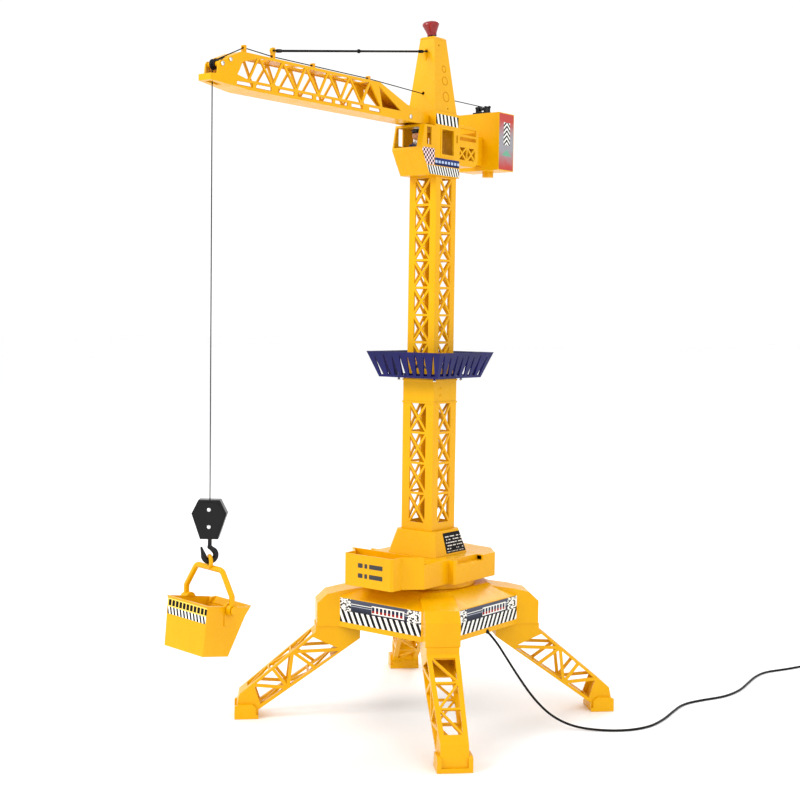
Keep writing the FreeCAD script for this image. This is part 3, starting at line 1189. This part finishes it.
def bucket():
    """A tub with a rim, a sloping rear wall, a pouring lip towards -X and two trunnions."""
    wall = 2.0
    rim_z = LUG_Z + 4
    low_z = LUG_Z - BUCKET_DEPTH
    x = BUCKET_TOP_SHIFT
    top_x = BUCKET_TOP_X
    top_y = BUCKET_TOP_Y
    rear = x - top_x
    outer = loft(rectangle(BUCKET_LOW_X, BUCKET_LOW_Y, BUCKET_LOW_SHIFT), low_z, rectangle(top_x, top_y, x), rim_z)
    hollow = loft(rectangle(BUCKET_LOW_X - wall, BUCKET_LOW_Y - wall, BUCKET_LOW_SHIFT), low_z + wall,
                  rectangle(top_x - wall, top_y - wall, x), rim_z + 0.01)
    rim = loft(rectangle(top_x + 0.5, top_y - 0.4, x), rim_z - 2.5, rectangle(top_x + 2.2, top_y + 0.8, x), rim_z)
    lip = prism_y([(rear + 1, rim_z), (rear - LIP_REACH, rim_z + 2), (rear + 1, rim_z - 15)], -top_y + 4, top_y - 4)
    lip_hollow = prism_y([(rear - LIP_REACH - 0.5, rim_z + 4.6), (rear - LIP_REACH + 2, rim_z + 1.6),
                          (rear + 4.5, rim_z - 11), (rear + 8, rim_z + 4.6)], -top_y + 7.5, top_y - 7.5)
    pad = fuse([cylinder(10, (0, top_y - 3.5, LUG_Z), (0, top_y + 0.8, LUG_Z)),
                box((-10, top_y - 3.5, LUG_Z), (10, top_y + 0.8, rim_z - 0.1)),
                prism_y([(-10, LUG_Z), (10, LUG_Z), (4, LUG_Z - 24), (-4, LUG_Z - 24)], top_y - 3.5, top_y + 0.8)])
    lug = [pad.cut(hollow), cylinder(LUG_R, (0, top_y, LUG_Z), (0, top_y + 10.4, LUG_Z)),
           cylinder(6.5, (0, top_y + 10.4, LUG_Z), (0, top_y + 12.4, LUG_Z))]
    lugs = lug + [piece.mirror(V(0, 0, 0), ACROSS) for piece in lug]
    whole = fuse([cut(fuse([outer, rim, lip]), [hollow, lip_hollow])] + lugs)
    whole.rotate(V(0, 0, LUG_Z), ACROSS, -BUCKET_TIP)
    whole.translate(V(LINE_X, 0, 0))
    return swung(whole)


# ---- cable and handset ----
def cable_boots():
    """The tapered rubber strain reliefs at the hub and at the handset."""
    inner = V(*CABLE_INNER)
    out = V(*CORD_ROUTE[0]) - inner
    taper = Part.makeCone(4.4, 2.8, out.Length, inner, out)
    hub_boot = fuse([taper, Part.makeCylinder(BOOT_FLANGE_R, 2.0, inner, out)])
    y = HANDSET_Y - HANDSET_LONG / 2.0
    x = HANDSET_X
    z = BOOT_Z
    handset_boot = fuse([cylinder(3.5, (x, y - 1, z), (x, y + 6, z)), cone(3.5, 2.8, (x, y - 1, z), (x, y - 11, z)),
                         cylinder(5.2, (x, y + WALL + FIT, z), (x, y + WALL + 2, z))])
    return Part.makeCompound([hub_boot, handset_boot])


def coil_turns():
    return tube(COIL_MID_R + 6, COIL_MID_R - 6, (COIL_X, COIL_Y, 0.0), (COIL_X, COIL_Y, 9.0))


def handset_form(shrink, low, high):
    c = 12.0
    outline = [(x + HANDSET_X, y + HANDSET_Y) for x, y in chamfered_oblong(
        HANDSET_WIDE / 2.0 - shrink, HANDSET_LONG / 2.0 - shrink, c)]
    return prism_z(outline, low, high)


def chamfered_oblong(w, l, c):
    return [(w, -l + c), (w, l - c), (w - c, l), (-w + c, l), (-w, l - c), (-w, -l + c), (-w + c, -l), (w - c, -l)]


def in_handset(low, high):
    """A box given by its corners from the middle of the handset."""
    return box((HANDSET_X + low[0], HANDSET_Y + low[1], low[2]), (HANDSET_X + high[0], HANDSET_Y + high[1], high[2]))


def boot_hole():
    outside = (HANDSET_X, HANDSET_Y - HANDSET_LONG, BOOT_Z)
    return cylinder(3.5 + SHAFT_GAP, outside, (HANDSET_X, HANDSET_Y - 50, BOOT_Z))


LEVER_XS = (-19.0, 19.0)
LEVER_Z = 26.0
LEVER_AXLE_R = 1.5
SPLIT_Z = 17.0
BOARD_Z = 19.5


def handset_bottom():
    shell = handset_form(0, 0, SPLIT_Z).cut(handset_form(WALL, WALL, SPLIT_Z + 1))
    bay = in_handset((-26, -2, -1), (26, 80, WALL + 1))
    posts = [cylinder(3, (HANDSET_X + x, HANDSET_Y + y, WALL - 0.4), (HANDSET_X + x, HANDSET_Y + y, BOARD_Z))
             for x in (-26, 26) for y in (-52, -26)]
    return cut(fuse([shell] + posts), [bay, boot_hole()])


def handset_top():
    shell = handset_form(0, SPLIT_Z, HANDSET_HIGH).cut(handset_form(WALL, SPLIT_Z - 1, HANDSET_HIGH - WALL))
    openings = [in_handset((x - 6, -16, HANDSET_HIGH - 10), (x + 6, 20, HANDSET_HIGH + 5)) for x in LEVER_XS]
    openings += [boot_hole(), in_handset((-6, -47, HANDSET_HIGH - 10), (6, -41, HANDSET_HIGH + 5))]
    forks = []
    axles = []
    for x in LEVER_XS:
        forks += [in_handset((x + a, -2, 20), (x + a + 2.5, 6, HANDSET_HIGH - WALL + 0.5)) for a in (-8.5, 6)]
        axles.append(cylinder(LEVER_AXLE_R + SHAFT_GAP, (HANDSET_X + x - 10, HANDSET_Y + 2, LEVER_Z),
                              (HANDSET_X + x + 10, HANDSET_Y + 2, LEVER_Z)))
    return cut(fuse([cut(shell, openings)] + forks), axles)


def rocker_lever(x):
    """A control lever on its own cross axle inside the handset."""
    y = HANDSET_Y + 2
    z = LEVER_Z
    cx = HANDSET_X + x
    knob = loft([(cx - 4, y - 3), (cx + 4, y - 3), (cx + 4, y + 3), (cx - 4, y + 3)], z,
                [(cx - 4.5, y - 5), (cx + 4.5, y - 5), (cx + 4.5, y + 5), (cx - 4.5, y + 5)], z + 24)
    return fuse([knob, cylinder(4, (cx - 4.5, y, z), (cx + 4.5, y, z)),
                 cylinder(LEVER_AXLE_R, (cx - 8.4, y, z), (cx + 8.4, y, z))])


def power_switch():
    knob = in_handset((-5.5, -46.4, HANDSET_HIGH - 5), (-1.5, -41.6, HANDSET_HIGH + 3))
    slider = in_handset((-13, -49, HANDSET_HIGH - 8), (6, -39, HANDSET_HIGH - WALL - FIT))
    return fuse([knob, slider])


def battery_door():
    plate = in_handset((-25.7, -1.7, FIT), (25.7, 69.5, WALL))
    grips = [in_handset((-12, y, WALL - 0.9), (12, y + 1.6, WALL + 0.7)) for y in (56, 60)]
    return fuse([plate] + grips)


def battery_cells():
    cells = []
    z = WALL + 7.1 + FIT
    y = HANDSET_Y
    for x in (-15.6, 0, 15.6):
        a = HANDSET_X + x
        can = cylinder(7.1, (a, y + 2, z), (a, y + 48, z))
        cells.append(fuse([can, cylinder(2.6, (a, y + 48, z), (a, y + 50, z))]))
    return Part.makeCompound(cells)


def circuit_board():
    return fuse([in_handset((-30, -58, BOARD_Z), (30, -20, BOARD_Z + 1.6)),
                 in_handset((-10, -40, BOARD_Z + 1.6), (2, -28, BOARD_Z + 3.6))])


# ---- build and export ----
def build():
    cord, cord_length, cord_radii = bent_rod(CORD_ROUTE, CORD_R)
    end, end_length, end_radii = bent_rod(HANDSET_END_ROUTE, CORD_R)
    line, line_length, line_radii = hoist_line_jib()
    for name, solid, length, radii, radius in (("remote_cord", cord, cord_length, cord_radii, CORD_R),
                                               ("remote_cord_end", end, end_length, end_radii, CORD_R),
                                               ("hoist_line_jib", line, line_length, line_radii, LINE_R)):
        ratio = solid.Volume / (math.pi * radius ** 2 * length)
        print(name, "length", round(length), "volume ratio", round(ratio, 4))
        print("  bend radii", [round(r) for r in radii])
    nodes = {
        "base_hub_cover": base_hub_cover(),
        "base_bottom_plate": base_bottom_plate(),
        "leg_screws": leg_screws(),
        "slew_motor": slew_motor(),
        "slew_pinion": slew_pinion(),
        "slew_gear": slew_gear(),
        "turntable_platform": turntable_platform(),
        "tower_pedestal": pedestal(),
        "tower_coupler": tower_coupler(),
        "service_platform": service_platform(),
        "crane_screws": crane_screws(),
        "cab_interior": cab_interior(),
        "driver_figure": driver_figure(),
        "tower_head": tower_head(),
        "beacon_holder": beacon_holder(),
        "beacon_lens": beacon_lens(),
        "jib_pins": jib_pins(),
        "tip_sheave": tip_sheave(),
        "guide_roller": guide_roller(),
        "counter_jib_frame": counter_jib(),
        "line_guide": line_guide(),
        "winch_drum": winch_drum(),
        "winch_motor": winch_motor(),
        "winch_pinion": winch_pinion(),
        "hoist_line_jib": line,
        "hoist_line_drop": hoist_line_drop(),
        "pendant_cord": pendant_cord(),
        "pendant_fittings": pendant_fittings(),
        "block_rivets": block_rivets(),
        "hook": hook(),
        "bucket_bail": bail(),
        "bucket": bucket(),
        "cable_boots": cable_boots(),
        "remote_cord": cord,
        "remote_cord_end": end,
        "remote_coil": coil_turns(),
        "handset_bottom": handset_bottom(),
        "handset_top": handset_top(),
        "hoist_lever": rocker_lever(LEVER_XS[0]),
        "slew_lever": rocker_lever(LEVER_XS[1]),
        "power_switch": power_switch(),
        "battery_door": battery_door(),
        "battery_cells": battery_cells(),
        "circuit_board": circuit_board(),
    }
    for group in (legs(), lower_tower(), upper_tower(), cab_shell(), jib(), machine_box(), hook_block()):
        nodes.update(group)
    return nodes


def main():
    os.makedirs("parts", exist_ok=True)
    for name, shape in sorted(build().items()):
        shape.exportStep("parts/%s.step" % name)
        good = shape.isValid()
        print(name, "valid" if good else "INVALID", "solids", len(shape.Solids), "volume", round(shape.Volume))


main()
